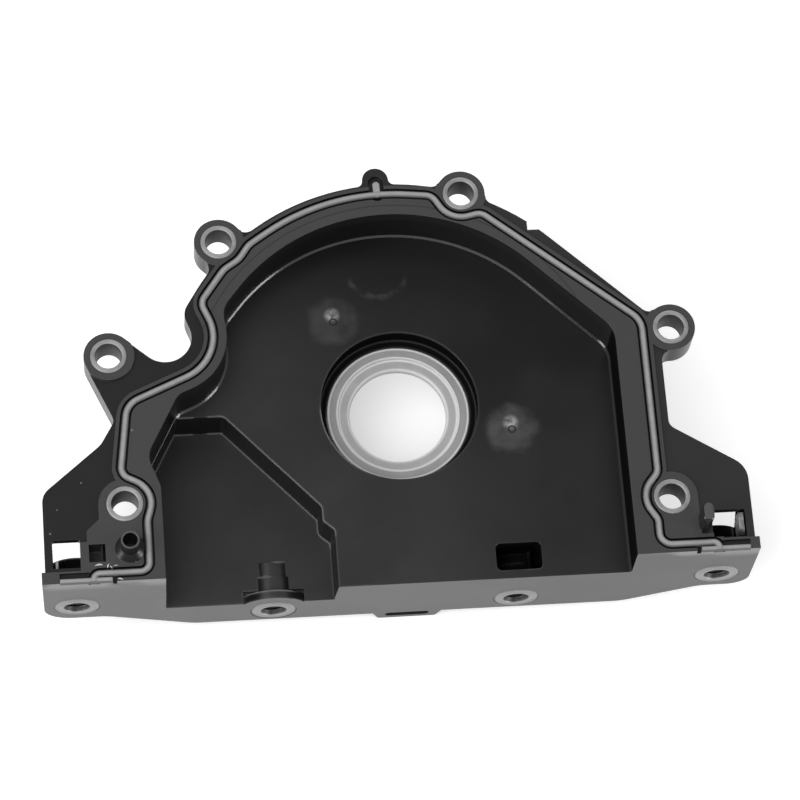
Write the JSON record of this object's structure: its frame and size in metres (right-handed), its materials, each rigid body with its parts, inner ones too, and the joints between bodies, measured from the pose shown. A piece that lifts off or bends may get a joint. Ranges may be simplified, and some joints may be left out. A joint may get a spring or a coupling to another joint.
{
  "type": "crankshaft seal flange",
  "caption": "Arched engine end flange with a deep sealing tray, a crankshaft seal in a boss, bolt ears with metal bushes and an oil pan rail with threaded inserts.",
  "frame": {"origin": "on the crankshaft axis, at the middle of the seal lip's running land", "axes": "+Z along the crankshaft towards the engine block, so the block face looks up; +X along the oil pan rail; -Y towards the oil pan"},
  "size_m": [0.2289, 0.1401, 0.06],
  "materials": {
    "housing": "satin",
    "gasket": "satin",
    "seal_case": "satin",
    "seal_lip": "satin",
    "bush": "satin",
    "insert": "satin"
  },
  "bodies": {
    "root": {"housing": "housing", "face_gasket": "gasket", "seal_case": "seal_case", "seal_lip": "seal_lip", "face_bush_left": "bush", "face_bush_upper_left": "bush", "face_bush_top": "bush", "face_bush_right": "bush", "face_bush_lower_right": "bush", "face_bush_lower_left": "bush", "pan_insert_outer_left": "insert", "pan_insert_inner_left": "insert", "pan_insert_inner_right": "insert", "pan_insert_outer_right": "insert"}
  },
  "joints": []
}
